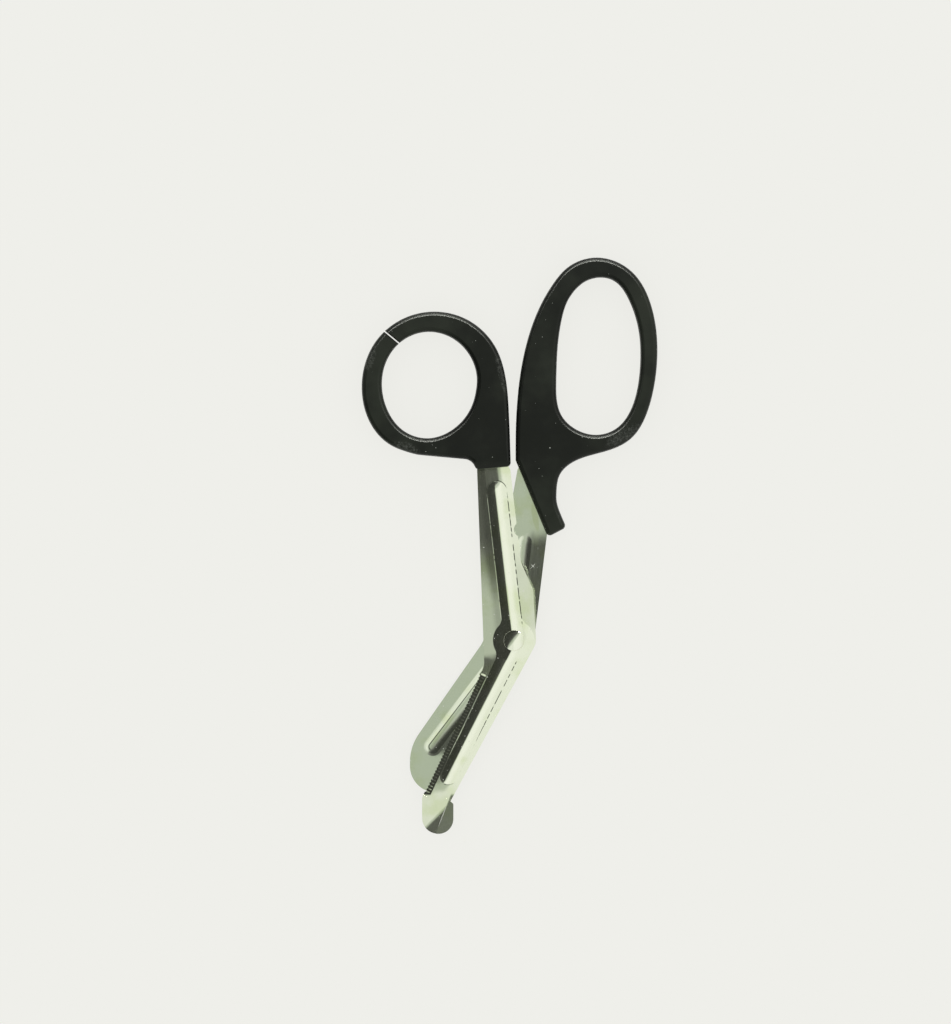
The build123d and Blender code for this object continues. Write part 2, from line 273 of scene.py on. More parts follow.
def leaned_normal(tree, surface, lean_x, lean_y, press, swing):
    """A normal leaned along X and Y as sprung sheet leans, with steep faces eased.

    With p = PRESS_ALONG, the sum is (press nx + swing ny + lean_x, p press ny + lean_y, nz + LIFT),
    its X held at FARTHEST_WEST or more, made one long again. The added height turns a rib's flank
    up a little, as the soft foot of a pressed flank does.
    """
    parts = add_node(tree, "ShaderNodeSeparateXYZ", links={0: surface})
    slope_x = add_node(
        tree, "ShaderNodeMath", {"operation": "MULTIPLY_ADD"}, {1: press},
        {0: parts.outputs["X"], 2: lean_x},
    )
    slope_x = add_node(
        tree, "ShaderNodeMath", {"operation": "MULTIPLY_ADD"}, {1: swing},
        {0: parts.outputs["Y"], 2: slope_x.outputs[0]},
    )
    slope_x = add_node(
        tree, "ShaderNodeMath", {"operation": "MAXIMUM"}, {1: FARTHEST_WEST},
        {0: slope_x.outputs[0]},
    )
    slope_y = add_node(
        tree, "ShaderNodeMath", {"operation": "MULTIPLY_ADD"}, {1: PRESS_ALONG * press},
        {0: parts.outputs["Y"], 2: lean_y},
    )
    height = add_node(
        tree, "ShaderNodeMath", {"operation": "ADD"}, {1: LIFT}, {0: parts.outputs["Z"]}
    )
    leaned = add_node(
        tree, "ShaderNodeCombineXYZ",
        links={"X": slope_x.outputs[0], "Y": slope_y.outputs[0], "Z": height.outputs[0]},
    )
    return add_node(
        tree, "ShaderNodeVectorMath", {"operation": "NORMALIZE"}, links={0: leaned.outputs[0]}
    ).outputs[0]


def thin_line(tree, value, at, half_width):
    """A mask of the thin line where a value is at, of the given half width in the value's unit."""
    away = add_node(tree, "ShaderNodeMath", {"operation": "SUBTRACT"}, {1: at}, {0: value})
    away = add_node(tree, "ShaderNodeMath", {"operation": "ABSOLUTE"}, links={0: away.outputs[0]})
    return smooth_step(tree, away.outputs[0], half_width * 0.5, half_width * 1.5, 1.0, 0.0)


def stroke(tree, coordinates, start, end, half_width):
    """A soft-rimmed mask of a straight stroke between two points of the plan, in millimetres."""
    middle = ((start[0] + end[0]) / 2 * MM, (start[1] + end[1]) / 2 * MM, 0.0)
    length = math.dist(start, end) / 2 * MM
    turn = math.atan2(end[1] - start[1], end[0] - start[0])
    moved = add_node(
        tree, "ShaderNodeMapping", {"vector_type": "TEXTURE"},
        {
            "Location": middle, "Rotation": (0.0, 0.0, turn),
            "Scale": (length, half_width * MM, 1.0),
        },
        {"Vector": coordinates},
    )
    flat = add_node(
        tree, "ShaderNodeVectorMath", {"operation": "MULTIPLY"}, {1: (1.0, 1.0, 0.0)},
        {0: moved.outputs[0]},
    )
    away = add_node(
        tree, "ShaderNodeVectorMath", {"operation": "LENGTH"}, links={0: flat.outputs[0]}
    )
    return smooth_step(tree, away.outputs["Value"], 0.6, 1.1, 1.0, 0.0)


def blend(tree, share, first, second):
    """The mix of two colours or ramps by a share."""
    return add_node(
        tree, "ShaderNodeMix", {"data_type": "RGBA"}, links={0: share, 6: first, 7: second}
    ).outputs[2]


def stainless(name, color, ribs, leans, lines, press, swing, front):
    """Polished stainless sheet, fine satin grain: a soft metal gloss in wide light and dark fields.

    ribs gives, for the shank's rib and for the blade's, its start, end and width in millimetres,
    and the share of its width where its left side turns into its right and how softly it turns.
    leans gives, for the flat left of the ribs, their left sides, their right sides and the flat
    right of them, ramps of (place, lean): places run from the foot, 0, to the collar, 1, and
    leans from 0, towards -X, through 0.5, level, to 1, towards +X. lines gives lines along the
    ribs: the share of the width, its half width, the lean, how broken it is and a ramp of (place,
    strength). press and swing are how much the sheet's own slopes along X and Y count, and front
    is whether the boss, the teeth and the foot lean too.
    """
    material, tree = new_material(name)
    coordinates = add_node(tree, "ShaderNodeTexCoord").outputs["Object"]
    surface = add_node(tree, "ShaderNodeNewGeometry").outputs["Normal"]
    place = add_node(tree, "ShaderNodeSeparateXYZ", links={0: coordinates})
    waves = add_node(
        tree, "ShaderNodeTexNoise", values={"Scale": WAVES, "Detail": 3.0},
        links={"Vector": coordinates},
    )
    drift = add_node(
        tree, "ShaderNodeMath", {"operation": "MULTIPLY_ADD"},
        {1: 2 * WAVE_DRIFT, 2: -WAVE_DRIFT}, {0: waves.outputs["Fac"]},
    )
    drifted = add_node(
        tree, "ShaderNodeMath", {"operation": "ADD"},
        links={0: place.outputs["Y"], 1: drift.outputs[0]},
    )
    along = add_node(
        tree, "ShaderNodeMapRange",
        values={"From Min": LEAN_ENDS[0] * MM, "From Max": LEAN_ENDS[1] * MM},
        links={"Value": drifted.outputs[0]},
    )
    upper = add_node(
        tree, "ShaderNodeMath", {"operation": "GREATER_THAN"}, {1: 0.0}, {0: place.outputs["Y"]}
    )
    levels, shares, turns = [], [], []
    for start, end, width, split, soft in ribs:
        level, share = rib_share(tree, coordinates, start, end, width)
        levels.append(level)
        shares.append(share)
        turns.append(smooth_step(tree, level, split - soft, split + soft))
    aside, across, turned = [
        add_node(
            tree, "ShaderNodeMix", {"data_type": "FLOAT"},
            links={0: upper.outputs[0], 2: values[1], 3: values[0]},
        ).outputs[0]
        for values in (levels, shares, turns)
    ]
    reach = add_node(tree, "ShaderNodeMath", {"operation": "ABSOLUTE"}, links={0: across})
    flat_left, rib_left, rib_right, flat_right = [
        stops(tree, along.outputs[0], points) for points in leans
    ]
    flats = blend(tree, smooth_step(tree, aside, 0.1, 0.9), flat_left, flat_right)
    rib = blend(tree, turned, rib_left, rib_right)
    on_rib = smooth_step(tree, reach.outputs[0], 0.95, 1.1, 1.0, 0.0)
    chosen = blend(tree, on_rib, flats, rib)
    mottle = add_node(
        tree, "ShaderNodeMath", {"operation": "MULTIPLY_ADD"}, {1: 2 * MOTTLE, 2: -MOTTLE},
        {0: waves.outputs["Fac"]},
    )
    lean = add_node(
        tree, "ShaderNodeMath", {"operation": "MULTIPLY_ADD"},
        {1: LEAN_RANGE, 2: -LEAN_RANGE / 2}, {0: chosen},
    ).outputs[0]
    marks_and_highlight = specks(tree, coordinates, pitch=1.2, radius=0.23, kept=0.4, seed=3.1)
    if front:
        # The boss slopes away round the rivet, and its left side shows the dark of the room
        level = add_node(
            tree, "ShaderNodeVectorMath", {"operation": "MULTIPLY"},
            {1: (TO_MM, TO_MM, 0.0)}, {0: coordinates},
        )
        radius = add_node(
            tree, "ShaderNodeVectorMath", {"operation": "LENGTH"}, links={0: level.outputs[0]}
        )
        near = smooth_step(
            tree, radius.outputs["Value"], BOSS_RADIUS, BOSS_RADIUS + 0.5, 1.0, 0.0
        )
        west = smooth_step(tree, aside, -0.3, -0.05, BOSS_LEAN, 0.0)
        lean = add_node(
            tree, "ShaderNodeMath", {"operation": "MULTIPLY_ADD"}, links={0: near, 1: west, 2: lean}
        ).outputs[0]
        # Above the pivot the left flat turns away a little towards the rib
        inner = add_node(
            tree, "ShaderNodeMath", {"operation": "MULTIPLY"},
            links={
                0: smooth_step(tree, aside, -2.3, -1.4, 0.0, INNER_LEAN),
                1: smooth_step(tree, aside, -1.05, -0.95, 1.0, 0.0),
            },
        )
        lean = add_node(
            tree, "ShaderNodeMath", {"operation": "MULTIPLY_ADD"},
            links={0: inner.outputs[0], 1: upper.outputs[0], 2: lean},
        ).outputs[0]
        # The foot is leaned by its plan alone: its bent-up side, right of the fold, faces a darker
        # part of the room, and so does the toe, past a slanting line
        tops = add_node(tree, "ShaderNodeSeparateXYZ", links={0: surface})
        tops = smooth_step(tree, tops.outputs["Z"], 0.3, 0.5)
        below = smooth_step(
            tree, place.outputs["Y"], (FOOT_LINE - 0.5) * MM, (FOOT_LINE + 0.5) * MM, 1.0, 0.0
        )
        below = add_node(
            tree, "ShaderNodeMath", {"operation": "MULTIPLY"}, links={0: below, 1: tops}
        )
        flattened = add_node(
            tree, "ShaderNodeMix", {"data_type": "VECTOR"}, {5: (0.0, 0.0, 1.0)},
            {0: below.outputs[0], 4: surface},
        )
        surface = flattened.outputs[1]
        beyond = add_node(
            tree, "ShaderNodeVectorMath", {"operation": "DOT_PRODUCT"},
            {1: (FOLD_ACROSS[0] * TO_MM, FOLD_ACROSS[1] * TO_MM, 0.0)}, {0: coordinates},
        )
        raised = smooth_step(tree, beyond.outputs["Value"], -0.9, -0.4)
        raised = add_node(
            tree, "ShaderNodeMath", {"operation": "MULTIPLY"},
            links={0: raised, 1: below.outputs[0]},
        ).outputs[0]
        past = add_node(
            tree, "ShaderNodeVectorMath", {"operation": "DOT_PRODUCT"},
            {1: (TOE_ACROSS[0] * TO_MM, TOE_ACROSS[1] * TO_MM, 0.0)}, {0: coordinates},
        )
        down = smooth_step(tree, past.outputs["Value"], 22.5, 23.8, 0.0, TOE_LEAN)
        down = add_node(
            tree, "ShaderNodeMath", {"operation": "MULTIPLY"}, links={0: down, 1: below.outputs[0]}
        ).outputs[0]
        aslant = add_node(
            tree, "ShaderNodeMix", {"data_type": "FLOAT"}, {3: FOLD_LEAN}, {0: raised, 2: down}
        )
        lean = add_node(
            tree, "ShaderNodeMath", {"operation": "ADD"}, links={0: aslant.outputs[0], 1: lean}
        ).outputs[0]
        # The teeth's ground sides catch the light and the dark in turn along the edge
        run = add_node(
            tree, "ShaderNodeVectorMath", {"operation": "DOT_PRODUCT"},
            {1: tuple(part * 2 * TO_MM * math.pi / TOOTH_PITCH for part in EDGE_RUN) + (0.0,)},
            {0: coordinates},
        )
        ridge = add_node(
            tree, "ShaderNodeMath", {"operation": "SINE"}, links={0: run.outputs["Value"]}
        )
        inward = add_node(
            tree, "ShaderNodeVectorMath", {"operation": "DOT_PRODUCT"},
            {1: (-TO_MM * EDGE_RUN[1], TO_MM * EDGE_RUN[0], 0.0)}, {0: coordinates},
        )
        ridge = add_node(
            tree, "ShaderNodeMath", {"operation": "MULTIPLY_ADD"},
            {1: TOOTH_LEAN, 2: TOOTH_REST}, {0: ridge.outputs[0]},
        )
        band = smooth_step(tree, inward.outputs["Value"], *BEVEL_FADE, 1.0, 0.0)
        low = smooth_step(
            tree, place.outputs["Y"], (TEETH_TOP - 0.5) * MM, (TEETH_TOP + 0.5) * MM, 1.0, 0.0
        )
        high = smooth_step(tree, place.outputs["Y"], FOOT_LINE * MM, (FOOT_LINE + 1) * MM)
        teeth = add_node(tree, "ShaderNodeMath", {"operation": "MULTIPLY"}, links={0: low, 1: band})
        teeth = add_node(
            tree, "ShaderNodeMath", {"operation": "MULTIPLY"}, links={0: teeth.outputs[0], 1: high}
        )
        lean = add_node(
            tree, "ShaderNodeMath", {"operation": "MULTIPLY_ADD"},
            links={0: ridge.outputs[0], 1: teeth.outputs[0], 2: lean},
        ).outputs[0]
        # A highlight painted as a pale line along the foot's fold
        scratches_and_highlights, painted_reflections = [((-22.1, -54.2), (-25.1, -61.8), 0.13)], []
    else:
        # A small cross scratched in the shank, and an olive reflection painted beside the handle's
        # beak
        scratches_and_highlights = [((5.6, 23.8), (7.1, 25.4), 0.13), ((5.7, 25.2), (6.9, 24.0), 0.13)]
        painted_reflections = [((6.0, 46.0), (8.1, 35.5), 1.1)]
    # Lines along the ribs: some catch the light, some are dark, and some are broken
    dashes = add_node(
        tree, "ShaderNodeTexNoise", values={"Scale": DASHES, "Detail": 1.0},
        links={"Vector": coordinates},
    )
    for share, half_width, weight, gap, strengths in lines:
        line = add_node(
            tree, "ShaderNodeMath", {"operation": "MULTIPLY"},
            links={
                0: thin_line(tree, across, share, half_width),
                1: smooth_step(tree, dashes.outputs["Fac"], gap, gap + 0.15, 0.0, weight),
            },
        )
        lean = add_node(
            tree, "ShaderNodeMath", {"operation": "MULTIPLY_ADD"},
            links={0: line.outputs[0], 1: stops(tree, along.outputs[0], strengths), 2: lean},
        ).outputs[0]
    lean_x = add_node(
        tree, "ShaderNodeMath", {"operation": "ADD"}, links={0: lean, 1: mottle.outputs[0]}
    )
    normal = leaned_normal(
        tree, surface, lean_x.outputs[0], mottle.outputs[0], press, swing
    )
    # Satin grain of about 0.15 mm across the half and 6 mm along it, coarser than the real one so
    # that it shows
    stretched = add_node(
        tree, "ShaderNodeMapping", values={"Scale": (7000.0, 160.0, 7000.0)},
        links={"Vector": coordinates},
    )
    grain = add_node(
        tree, "ShaderNodeTexNoise", values={"Scale": 1.0, "Detail": 3.0, "Roughness": 0.6},
        links={"Vector": stretched.outputs[0]},
    )
    bump = add_node(
        tree, "ShaderNodeBump", values={"Strength": 0.1, "Distance": 0.01 * MM},
        links={"Height": grain.outputs["Fac"], "Normal": normal},
    )
    # On the front half this stroke is a painted highlight along the fold; on the back, a real
    # scratch
    for start, end, half_width in scratches_and_highlights:
        marks_and_highlight = add_node(
            tree, "ShaderNodeMath", {"operation": "MAXIMUM"},
            links={0: marks_and_highlight, 1: stroke(tree, coordinates, start, end, half_width)},
        ).outputs[0]
    # The steel is a little greener in patches; along the ribs' crest a highlight is painted in
    # white
    patches_and_reflection = add_node(
        tree, "ShaderNodeMix", {"data_type": "RGBA"}, {6: linear(color), 7: linear(GREENER)},
        {0: smooth_step(tree, waves.outputs["Fac"], 0.45, 0.7)},
    )
    patches_and_reflection = patches_and_reflection.outputs[2]
    # The olive streak beside the beak is a painted reflection, mixed into the steel's colour
    for start, end, half_width in painted_reflections:
        near = stroke(tree, coordinates, start, end, half_width)
        reflection_share = smooth_step(tree, near, 0.0, 1.0, 0.0, 0.4)
        patches_and_reflection = add_node(
            tree, "ShaderNodeMix", {"data_type": "RGBA"}, {7: linear(OLIVE_REFLECTION)},
            {0: reflection_share, 6: patches_and_reflection},
        ).outputs[2]
    # Painted highlight: the colour turns whiter just right of the middle of each rib
    crest_highlight = add_node(
        tree, "ShaderNodeMath", {"operation": "MULTIPLY"},
        links={
            0: smooth_step(tree, aside, -0.1, 0.05),
            1: smooth_step(tree, aside, 0.25, 0.8, 0.7, 0.0),
        },
    )
    crest_highlight = add_node(
        tree, "ShaderNodeMath", {"operation": "MULTIPLY"}, links={0: crest_highlight.outputs[0], 1: on_rib}
    )
    crest_lit = add_node(
        tree, "ShaderNodeMix", {"data_type": "RGBA"}, {7: linear(CREST_HIGHLIGHT)},
        {0: crest_highlight.outputs[0], 6: patches_and_reflection},
    )
    tone = add_node(
        tree, "ShaderNodeMix", {"data_type": "RGBA"}, {7: linear(MARKS_AND_HIGHLIGHT)},
        {0: marks_and_highlight, 6: crest_lit.outputs[2]},
    )
    metal = add_node(
        tree, "ShaderNodeMath", {"operation": "MULTIPLY_ADD"}, {1: -0.8, 2: 1.0}, {0: marks_and_highlight}
    )
    rough = add_node(
        tree, "ShaderNodeMapRange",
        values={"From Min": 0.3, "From Max": 0.7, "To Min": 0.1, "To Max": 0.16},
        links={"Value": grain.outputs["Fac"]},
    )
    shader = add_node(
        tree, "ShaderNodeBsdfPrincipled",
        links={
            "Base Color": tone.outputs[2], "Metallic": metal.outputs[0],
            "Roughness": rough.outputs[0], "Normal": bump.outputs[0],
        },
    )
    add_node(tree, "ShaderNodeOutputMaterial", links={"Surface": shader.outputs[0]})
    return material


def polypropylene(name, color):
    """Black moulded polypropylene: even dark skin, soft sheen, fine grain, dust, rubbed marks."""
    material, tree = new_material(name)
    coordinates = add_node(tree, "ShaderNodeTexCoord").outputs["Object"]
    # The skin's grain is drawn coarser than the real one, so that it shows
    grain = add_node(
        tree, "ShaderNodeTexNoise", values={"Scale": PLASTIC_GRAIN, "Detail": 2.0},
        links={"Vector": coordinates},
    )
    # Dust in two sizes
    dust = add_node(
        tree, "ShaderNodeMath", {"operation": "MAXIMUM"},
        links={
            0: specks(tree, coordinates, pitch=1.1, radius=0.16, kept=0.2, seed=1.7),
            1: specks(tree, coordinates, pitch=3.2, radius=0.28, kept=0.25, seed=5.3),
        },
    ).outputs[0]
    # Where the loops rub: fine pale scuffs at the finger loop's lower right, and at the ring's
    # left, lower left and right. They run down the walls too
    haze = add_node(
        tree, "ShaderNodeTexNoise", values={"Scale": SCUFFS, "Detail": 5.0, "Roughness": 0.8},
        links={"Vector": coordinates},
    )
    rubs = smooth_step(tree, haze.outputs["Fac"], 0.42, 0.8, 0.0, 0.3)
    for start, end, half_width in (
        ((30.0, 64.0), (43.0, 72.0), 2.4), ((-48.5, 89.0), (-46.5, 100.0), 2.0),
        ((-40.0, 65.5), (-31.0, 62.0), 2.0), ((-6.0, 96.0), (-1.8, 80.0), 1.4),
    ):
        near = stroke(tree, coordinates, start, end, half_width)
        rubbed = add_node(
            tree, "ShaderNodeMath", {"operation": "MULTIPLY"}, links={0: rubs, 1: near}
        )
        dust = add_node(
            tree, "ShaderNodeMath", {"operation": "MAXIMUM"}, links={0: dust, 1: rubbed.outputs[0]}
        ).outputs[0]
    worn = add_node(
        tree, "ShaderNodeTexNoise", values={"Scale": WORN_AREAS, "Detail": 4.0, "Roughness": 0.6},
        links={"Vector": coordinates},
    )
    skin = add_node(
        tree, "ShaderNodeMix", {"data_type": "RGBA"}, {6: linear(color), 7: linear(WORN)},
        {0: smooth_step(tree, worn.outputs["Fac"], 0.42, 0.66)},
    )
    tone = add_node(
        tree, "ShaderNodeMix", {"data_type": "RGBA"}, {7: linear(DUSTY)},
        {0: dust, 6: skin.outputs[2]},
    )
    rough = add_node(
        tree, "ShaderNodeMapRange",
        values={"From Min": 0.3, "From Max": 0.7, "To Min": 0.2, "To Max": 0.26},
        links={"Value": worn.outputs["Fac"]},
    )
    # The rounded rims are duller than the flat tops, so that lamps draw soft lines along them
    slope = add_node(
        tree, "ShaderNodeSeparateXYZ",
        links={0: add_node(tree, "ShaderNodeNewGeometry").outputs["Normal"]},
    )
    rough = add_node(
        tree, "ShaderNodeMath", {"operation": "ADD"},
        links={
            0: rough.outputs[0], 1: smooth_step(tree, slope.outputs["Z"], 0.93, 0.99, 0.16, 0.0),
        },
    )
    bump = add_node(
        tree, "ShaderNodeBump", values={"Strength": 0.02, "Distance": 0.01 * MM},
        links={"Height": grain.outputs["Fac"]},
    )
    shader = add_node(
        tree, "ShaderNodeBsdfPrincipled", values={"IOR": 1.49, "Specular IOR Level": 0.22},
        links={
            "Base Color": tone.outputs[2], "Roughness": rough.outputs[0],
            "Normal": bump.outputs[0],
        },
    )
    add_node(tree, "ShaderNodeOutputMaterial", links={"Surface": shader.outputs[0]})
    return material


def flat_fields(mesh, normals, areas):
    """For every face, the area of the flat field of faces that it belongs to."""
    edges = np.empty(len(mesh.loops), dtype=np.int64)
    mesh.loops.foreach_get("edge_index", edges)
    faces = np.repeat(np.arange(len(mesh.polygons)), 3)
    order = np.argsort(edges, kind="stable")
    shared = edges[order][1:] == edges[order][:-1]
    first, second = faces[order][:-1][shared], faces[order][1:][shared]
    level = np.linalg.norm(normals[first] - normals[second], axis=1) < SAME_PLANE
    first, second = first[level], second[level]
    label = np.arange(len(areas))
    while True:
        lowest = label.copy()
        np.minimum.at(lowest, first, label[second])
        np.minimum.at(lowest, second, label[first])
        lowest = lowest[lowest]
        if np.array_equal(lowest, label):
            return np.bincount(label, areas, len(areas))[label]
        label = lowest


def even_normals(mesh, sharp_angle):
    """Smooths a triangle mesh so that flat fields stay flat and rounds run into them.

    The normal at a corner of a face is the sum of the normals n_j of the faces round its vertex
    that stand within sharp_angle of it, each times the area of the flat field that it is in.
    """
    count = len(mesh.polygons)
    normals, areas = np.empty(count * 3), np.empty(count)
    mesh.polygons.foreach_get("normal", normals)
    mesh.polygons.foreach_get("area", areas)
    normals = normals.reshape(-1, 3)
    weights = flat_fields(mesh, normals, areas)
    vertices = np.empty(len(mesh.loops), dtype=np.int64)
    mesh.loops.foreach_get("vertex_index", vertices)
    order = np.argsort(vertices, kind="stable")
    faces = np.repeat(np.arange(count), 3)[order]
    valence = np.bincount(vertices, minlength=len(mesh.vertices))
    start = np.repeat(np.cumsum(valence) - valence, valence)
    around = np.repeat(valence, valence)
    rank = np.arange(len(order)) - start
    total = np.zeros((len(order), 3))
    for step in range(valence.max()):
        reached = np.nonzero(around > step)[0]
        other = faces[start[reached] + (rank[reached] + step) % around[reached]]
        near = np.einsum("ij,ij->i", normals[faces[reached]], normals[other])
        share = weights[other] * (near > math.cos(sharp_angle))
        total[reached] += normals[other] * share[:, None]
    total /= np.maximum(np.linalg.norm(total, axis=1), 1e-12)[:, None]
    smooth = np.empty_like(total)
    smooth[order] = total
    mesh.shade_smooth()
    mesh.normals_split_custom_set(smooth.tolist())


def draw_in(work, amount):
    """Gives a moulding its draft: past the upright middle of their height, its walls lean in.

    A vertex at height z moves in by amount max(0, |z - middle| / half - UPRIGHT) / (1 - UPRIGHT),
    against the sum of its faces' normals in the plan, where half is half the height.
    """
    heights = [vertex.co.z for vertex in work.verts]
    middle, half = (max(heights) + min(heights)) / 2, (max(heights) - min(heights)) / 2
    geometry = work.verts[:] + work.edges[:] + work.faces[:]
    bmesh.ops.bisect_plane(work, geom=geometry, plane_co=(0, 0, middle), plane_no=(0, 0, 1))
    bmesh.ops.triangulate(work, faces=work.faces)
    work.normal_update()
    moves = []
    for vertex in work.verts:
        away = Vector((0, 0, 0))
        for face in vertex.link_faces:
            away += Vector((face.normal.x, face.normal.y, 0)) * face.calc_area()
        share = max(0, abs(vertex.co.z - middle) / half - UPRIGHT) / (1 - UPRIGHT)
        moves.append(away.normalized() * -amount * share)
    for vertex, move in zip(work.verts, moves):
        vertex.co += move


def merged_copy(node, name, sharp_angle, draft=0.0):
    """A copy of a node's mesh: doubles merged, walls drafted where asked, rounds shaded smooth."""
    work = bmesh.new()
    work.from_mesh(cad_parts[node].data)
    bmesh.ops.remove_doubles(work, verts=work.verts, dist=1e-6)
    if draft:
        draw_in(work, draft)
    mesh = bpy.data.meshes.new(name)
    work.to_mesh(mesh)
    work.free()
    even_normals(mesh, sharp_angle)
    piece = bpy.data.objects.new(name, mesh)
    bpy.context.scene.collection.objects.link(piece)
    return piece


def dress(piece, node, body, material):
    """Gives a piece its material and its body, and hides the node that it stands for."""
    piece.data.materials.clear()
    piece.data.materials.append(material)
    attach(piece, body)
    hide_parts(node)


def revolved(name, profile, segments):
    """A closed surface of revolution about the Z axis.

    Each point (r, z) of the profile sweeps the ring (r cos a, r sin a, z) as a goes once round;
    the first and last points lie on the axis and close the surface with a fan.
    """
    rim = np.array(profile[1:-1])
    angles = np.linspace(0, 2 * np.pi, segments, endpoint=False)
    rings = np.stack([
        rim[:, :1] * np.cos(angles), rim[:, :1] * np.sin(angles),
        np.repeat(rim[:, 1:], segments, axis=1),
    ], axis=-1).reshape(-1, 3)
    points = np.vstack([rings, (0, 0, profile[0][1]), (0, 0, profile[-1][1])])
    first = np.arange(segments)
    following = (first + 1) % segments
    rows = np.arange(len(rim) - 1)[:, None] * segments
    quads = np.stack([
        rows + first, rows + following, rows + segments + following, rows + segments + first,
    ], axis=-1).reshape(-1, 4)
    last = (len(rim) - 1) * segments
    low = np.stack([following, first, np.full(segments, len(rings))], axis=-1)
    high = np.stack([last + first, last + following, np.full(segments, len(rings) + 1)], axis=-1)
    mesh = bpy.data.meshes.new(name)
    mesh.from_pydata(points.tolist(), [], quads.tolist() + low.tolist() + high.tolist())
    mesh.shade_smooth()
    mesh.set_sharp_from_angle(angle=ROUND_SHARP)
    piece = bpy.data.objects.new(name, mesh)
    bpy.context.scene.collection.objects.link(piece)
    return piece


class ScissorsColors(bpy.types.PropertyGroup):
    """The colour of the stage's table."""

    floor: FloatVectorProperty(
        name="Floor", description="Colour of the table under the scissors",
        subtype="COLOR", size=4, min=0, max=1, default=linear("#EFEFEA"),
    )


class ScissorsSizes(bpy.types.PropertyGroup):
    """Sizes that the pieces and the stage are made with."""

    head_height: FloatProperty(
        name="Head height", description="Height of the rivet's domed head",
        unit="LENGTH", default=1.9 * MM, min=0.5 * MM,
    )
    lens: FloatProperty(
        name="Lens", description="Focal length of the camera in millimetres", default=300.0,
    )


class SCISSORS_OT_halves(bpy.types.Operator):
    """Dresses the two pressed steel halves"""

    bl_idname = "scissors.halves"
    bl_label = "Steel halves"

    def execute(self, context):
        front = stainless(
            "Polished stainless, front half", "#E8EADC",
            # The shank's rib and the blade's
            (
                ((0.0, 0.0), (-5.7, 49.5), 6.3, -0.15, 0.08),
                ((1.22, 0.0), (-21.75, -44.9), 5.4, -0.13, 0.1),
            ),
            # Leans: the flat left of the ribs, their left sides, their right sides, the flat right
            (
                [(0.0, 0.59), (0.115, 0.59), (0.15, 0.29), (0.42, 0.29), (0.435, 0.2),
                 (0.468, 0.2), (0.485, 0.4), (0.62, 0.4), (0.68, 0.33), (0.75, 0.25),
                 (0.79, 0.18), (1.0, 0.17)],
                [(0.0, 0.59), (0.12, 0.59), (0.14, 0.1), (0.89, 0.1), (0.93, 0.3), (1.0, 0.3)],
                [(0.0, 0.59), (0.11, 0.59), (0.16, 0.66), (1.0, 0.68)],
                [(0.0, 0.59), (0.11, 0.59), (0.16, 0.66), (0.48, 0.68), (0.56, 0.56),
                 (0.7, 0.56), (0.8, 0.64), (1.0, 0.66)],
            ),
            # Lines at the ribs' feet: broken ones along them, and whole ones at the collar's end
            (
                (-1.06, 0.03, 0.14, 0.3, [
                    (0.0, 0.0), (0.15, 0.0), (0.17, 1.0), (0.46, 1.0), (0.48, 0.0),
                    (0.56, 0.0), (0.58, 1.0), (0.89, 1.0), (0.91, 0.0), (1.0, 0.0),
                ]),
                (1.06, 0.04, -0.45, 0.36, [
                    (0.0, 0.0), (0.13, 0.0), (0.15, 1.0), (0.46, 1.0), (0.48, 0.0),
                    (0.56, 0.0), (0.58, 1.0), (0.89, 1.0), (0.91, 0.0), (1.0, 0.0),
                ]),
                (-1.06, 0.035, -0.12, -1.0, [(0.0, 0.0), (0.9, 0.0), (0.91, 1.0), (1.0, 1.0)]),
                (1.06, 0.035, -0.3, -1.0, [(0.0, 0.0), (0.92, 0.0), (0.93, 1.0), (1.0, 0.5)]),
            ),
            press=0.5, swing=-0.3, front=True,
        )
        back = stainless(
            "Polished stainless, back half", "#E2E6D8",
            (
                ((0.0, 0.0), (3.7, 32.6), 5.7, 0.0, 0.9),
                ((0.0, 0.0), (-26.9, -35.2), 5.9, 0.05, 0.8),
            ),
            (
                [(0.0, 0.43), (0.5, 0.43), (1.0, 0.4)],
                [(0.0, 0.43), (0.3, 0.43), (0.4, 0.5), (0.6, 0.51), (0.78, 0.51), (0.82, 0.4),
                 (0.9, 0.4), (1.0, 0.34)],
                [(0.0, 0.15), (0.26, 0.15), (0.33, 0.33), (0.4, 0.45), (0.5, 0.4),
                 (0.56, 0.18), (0.77, 0.18), (0.82, 0.4), (0.9, 0.4), (1.0, 0.34)],
                [(0.0, 0.43), (0.2, 0.43), (0.24, 0.15), (0.77, 0.15), (0.82, 0.4), (0.9, 0.4),
                 (1.0, 0.34)],
            ),
            (
                (-0.77, 0.22, 0.08, -1.0, [(0.0, 1.0), (0.45, 1.0), (0.5, 0.0), (1.0, 0.0)]),
                (-0.42, 0.045, -0.2, -1.0, [(0.0, 1.0), (0.42, 1.0), (0.5, 0.0), (1.0, 0.0)]),
            ),
            press=0.1, swing=-0.05, front=False,
        )
        piece = merged_copy("front_blade", "front_half_sheet", SHEET_SHARP)
        dress(piece, "front_blade", "front_half", front)
        piece = merged_copy("back_blade", "back_half_sheet", SHEET_SHARP)
        dress(piece, "back_blade", "back_half", back)
        return {"FINISHED"}


class SCISSORS_OT_handles(bpy.types.Operator):
    """Dresses the two moulded handles"""

    bl_idname = "scissors.handles"
    bl_label = "Moulded handles"

    def execute(self, context):
        plastic = polypropylene("Black moulded polypropylene", "#070A06")
        piece = merged_copy("thumb_handle", "thumb_ring_moulding", ROUND_SHARP, DRAFT)
        dress(piece, "thumb_handle", "front_half", plastic)
        piece = merged_copy("finger_handle", "finger_loop_moulding", ROUND_SHARP, DRAFT)
        dress(piece, "finger_handle", "back_half", plastic)
        return {"FINISHED"}


